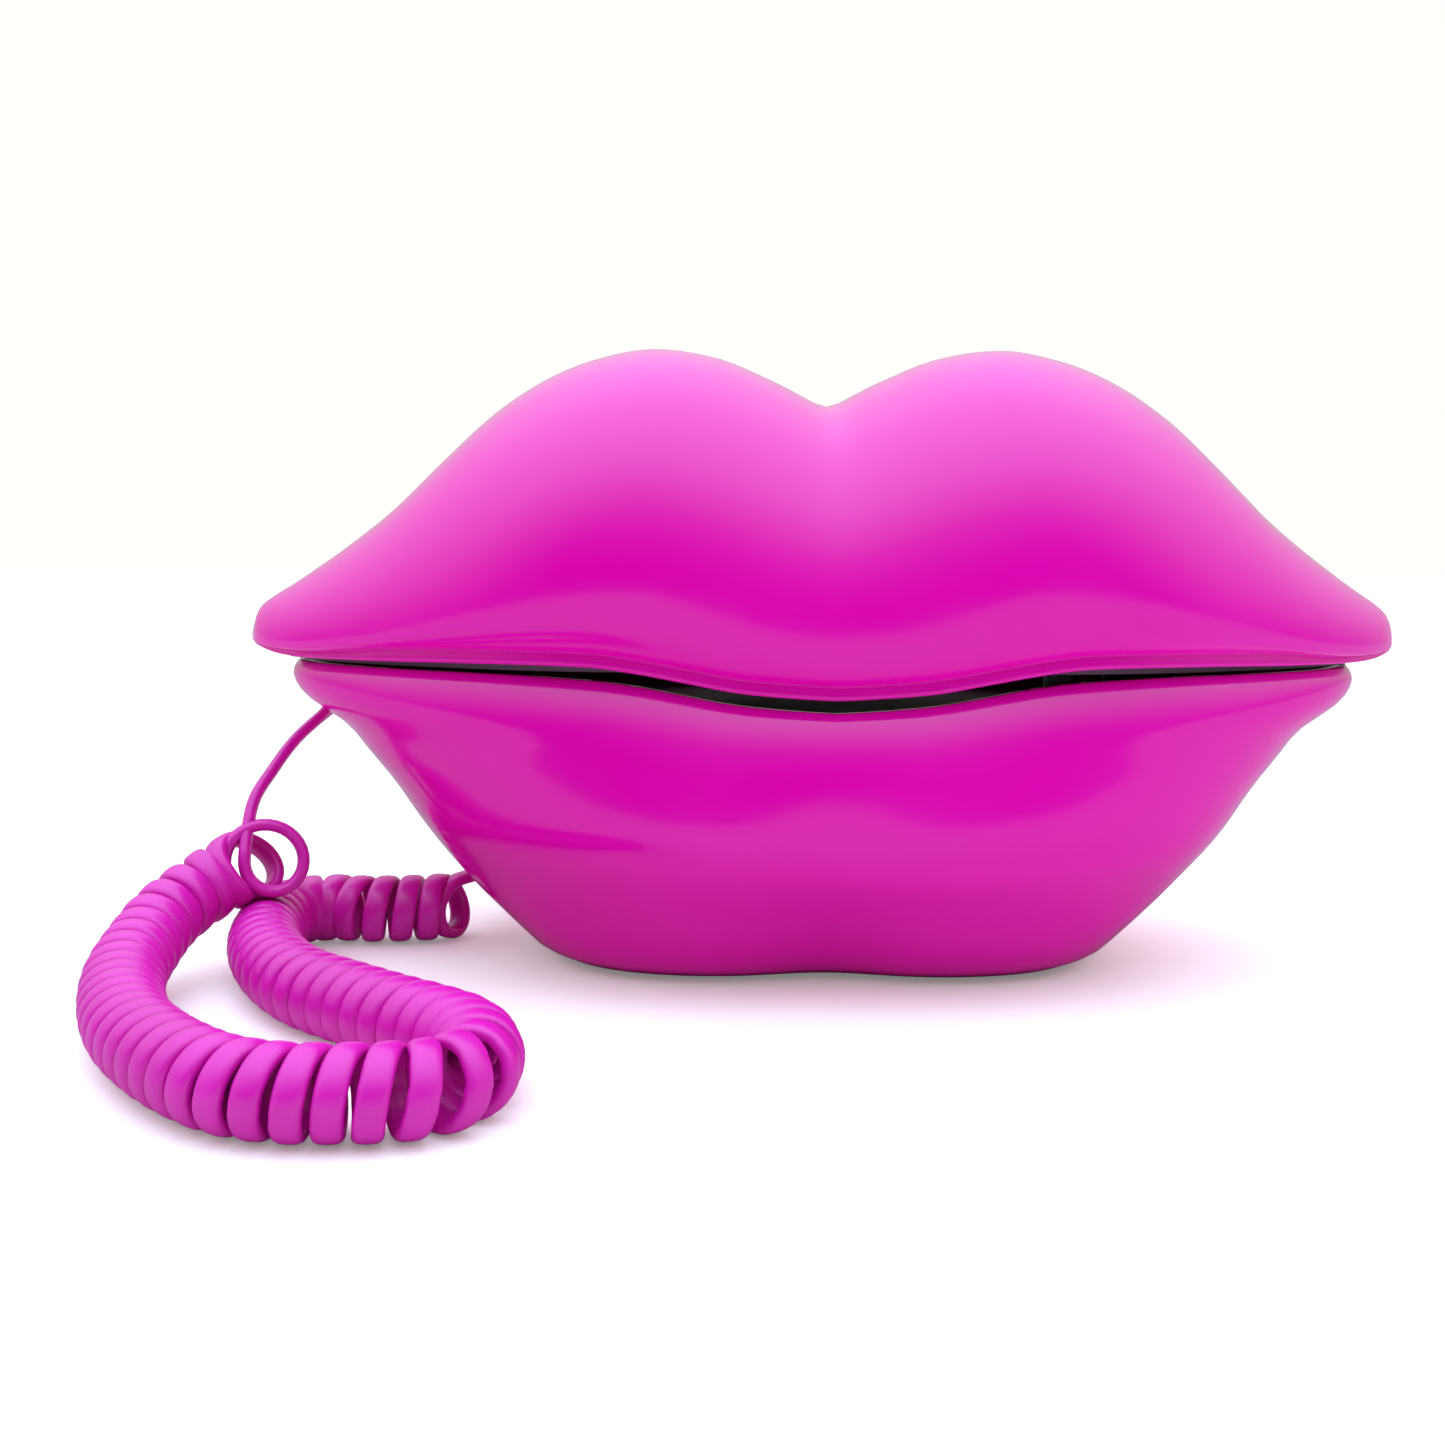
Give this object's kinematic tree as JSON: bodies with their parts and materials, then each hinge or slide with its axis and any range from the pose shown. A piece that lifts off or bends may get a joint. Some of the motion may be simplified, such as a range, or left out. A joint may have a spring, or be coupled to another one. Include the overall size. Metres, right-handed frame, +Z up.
{
  "type": "novelty telephone",
  "caption": "Desk telephone shaped as closed lips: the upper lip lifts off as the handset, the lower lip is the base, joined by a curly cord.",
  "frame": {"origin": "under the middle of the telephone, on the surface that its feet stand on", "axes": "+X along the mouth towards the viewer's right, -Y to the front, +Z up"},
  "size_m": [0.2351, 0.1594, 0.1149],
  "materials": {
    "lip_plastic": "glossy moulded plastic",
    "inner_plate": "glossy black plastic",
    "cover_plastic": "fine matte texture",
    "rubber": "matte",
    "circuit_board": "solder mask",
    "capsule_metal": "satin",
    "socket_plastic": "plain",
    "steel": "zinc plated",
    "ringer_brass": "satin",
    "white_plastic": "plain",
    "key_plastic": "smooth satin",
    "plug_plastic": "clear plastic, cloudy",
    "cord_jacket": "satin vinyl"
  },
  "bodies": {
    "base": {"base_shell": "lip_plastic", "cradle_plate": "inner_plate", "cradle_pads": "rubber", "hook_spring": "steel", "hook_guide": "socket_plastic", "hook_switch": "socket_plastic", "base_board": "circuit_board", "board_screws": "steel", "ringer": "ringer_brass", "base_socket": "socket_plastic", "line_socket": "socket_plastic", "ringer_switch": "socket_plastic", "base_weight": "steel", "bottom_cover": "cover_plastic", "base_screws": "steel", "feet": "rubber", "base_plug": "plug_plastic", "cord_coil": "cord_jacket", "cord_tail_handset": "cord_jacket", "cord_tail_base": "cord_jacket"},
    "handset": {"handset_shell": "lip_plastic", "handset_plate": "inner_plate", "keypad_mat": "rubber", "handset_board": "circuit_board", "earpiece_capsule": "capsule_metal", "earpiece_gasket": "rubber", "microphone_capsule": "capsule_metal", "microphone_boot": "rubber", "handset_socket": "socket_plastic", "handset_screws": "steel", "handset_weight": "steel", "dial_mode_switch": "socket_plastic", "handset_plug": "plug_plastic"},
    "hook": {"hook_plunger": "white_plastic"},
    "ringer_slider": {"ringer_slider": "white_plastic"},
    "dial_slider": {"dial_mode_slider": "white_plastic"},
    "key_1": {"key_1": "key_plastic"},
    "key_2": {"key_2": "key_plastic"},
    "key_3": {"key_3": "key_plastic"},
    "key_4": {"key_4": "key_plastic"},
    "key_5": {"key_5": "key_plastic"},
    "key_6": {"key_6": "key_plastic"},
    "key_7": {"key_7": "key_plastic"},
    "key_8": {"key_8": "key_plastic"},
    "key_9": {"key_9": "key_plastic"},
    "key_star": {"key_star": "key_plastic"},
    "key_0": {"key_0": "key_plastic"},
    "key_hash": {"key_hash": "key_plastic"},
    "key_redial": {"key_redial": "key_plastic"},
    "key_mute": {"key_mute": "key_plastic"},
    "key_flash": {"key_flash": "key_plastic"}
  },
  "joints": [
    {"name": "handset_lift", "type": "slide", "parent": "base", "child": "handset", "axis": [0, 0, 1], "range_m": [0, 0.12]},
    {"name": "hook_travel", "type": "slide", "parent": "base", "child": "hook", "axis": [0, 0, 1], "range_m": [0, 0.004], "deforming": ["hook_spring"]},
    {"name": "ringer_slide", "type": "slide", "parent": "base", "child": "ringer_slider", "axis": [1, 0, 0], "range_m": [0, 0.003]},
    {"name": "dial_mode_slide", "type": "slide", "parent": "handset", "child": "dial_slider", "axis": [1, 0, 0], "range_m": [0, 0.003]},
    {"name": "press_1", "type": "slide", "parent": "handset", "child": "key_1", "axis": [0, 0, 1], "range_m": [0, 0.0015], "stiffness_N_per_m": 400},
    {"name": "press_2", "type": "slide", "parent": "handset", "child": "key_2", "axis": [0, 0, 1], "range_m": [0, 0.0015], "stiffness_N_per_m": 400},
    {"name": "press_3", "type": "slide", "parent": "handset", "child": "key_3", "axis": [0, 0, 1], "range_m": [0, 0.0015], "stiffness_N_per_m": 400},
    {"name": "press_4", "type": "slide", "parent": "handset", "child": "key_4", "axis": [0, 0, 1], "range_m": [0, 0.0015], "stiffness_N_per_m": 400},
    {"name": "press_5", "type": "slide", "parent": "handset", "child": "key_5", "axis": [0, 0, 1], "range_m": [0, 0.0015], "stiffness_N_per_m": 400},
    {"name": "press_6", "type": "slide", "parent": "handset", "child": "key_6", "axis": [0, 0, 1], "range_m": [0, 0.0015], "stiffness_N_per_m": 400},
    {"name": "press_7", "type": "slide", "parent": "handset", "child": "key_7", "axis": [0, 0, 1], "range_m": [0, 0.0015], "stiffness_N_per_m": 400},
    {"name": "press_8", "type": "slide", "parent": "handset", "child": "key_8", "axis": [0, 0, 1], "range_m": [0, 0.0015], "stiffness_N_per_m": 400},
    {"name": "press_9", "type": "slide", "parent": "handset", "child": "key_9", "axis": [0, 0, 1], "range_m": [0, 0.0015], "stiffness_N_per_m": 400},
    {"name": "press_star", "type": "slide", "parent": "handset", "child": "key_star", "axis": [0, 0, 1], "range_m": [0, 0.0015], "stiffness_N_per_m": 400},
    {"name": "press_0", "type": "slide", "parent": "handset", "child": "key_0", "axis": [0, 0, 1], "range_m": [0, 0.0015], "stiffness_N_per_m": 400},
    {"name": "press_hash", "type": "slide", "parent": "handset", "child": "key_hash", "axis": [0, 0, 1], "range_m": [0, 0.0015], "stiffness_N_per_m": 400},
    {"name": "press_redial", "type": "slide", "parent": "handset", "child": "key_redial", "axis": [0, 0, 1], "range_m": [0, 0.0015], "stiffness_N_per_m": 400},
    {"name": "press_mute", "type": "slide", "parent": "handset", "child": "key_mute", "axis": [0, 0, 1], "range_m": [0, 0.0015], "stiffness_N_per_m": 400},
    {"name": "press_flash", "type": "slide", "parent": "handset", "child": "key_flash", "axis": [0, 0, 1], "range_m": [0, 0.0015], "stiffness_N_per_m": 400}
  ],
  "couplings": [
    {"joint": "hook_travel", "follows": "handset_lift", "ratio": 0.0333}
  ]
}
